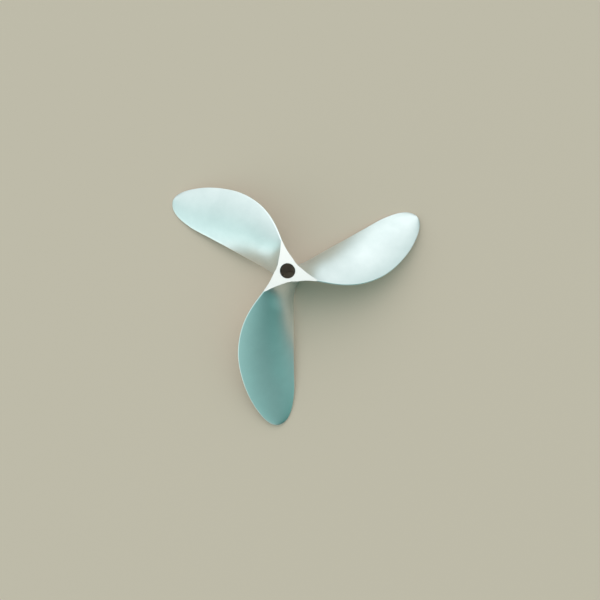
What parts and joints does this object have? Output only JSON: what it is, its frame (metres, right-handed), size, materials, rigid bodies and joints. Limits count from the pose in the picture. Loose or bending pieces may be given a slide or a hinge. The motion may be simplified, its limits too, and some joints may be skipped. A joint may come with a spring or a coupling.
{
  "type": "mixing propeller",
  "caption": "Left-handed mixing propeller cast in one piece: swept blades of constant pitch on a short hub with a plain shaft bore and a flat star-shaped machined end.",
  "frame": {"origin": "on the bore axis, in the plane of the hub's lower face, which is also the level of the blades' lowest edges", "axes": "+Z along the shaft bore, towards the star-shaped hub end; +Y is away from the viewer of the picture"},
  "size_m": [0.3465, 0.3317, 0.0605],
  "materials": {
    "blasted_cast_steel": "bead-blasted satin, machined flat on the hub's end"
  },
  "bodies": {
    "root": {"propeller_casting": "blasted_cast_steel"}
  },
  "joints": []
}
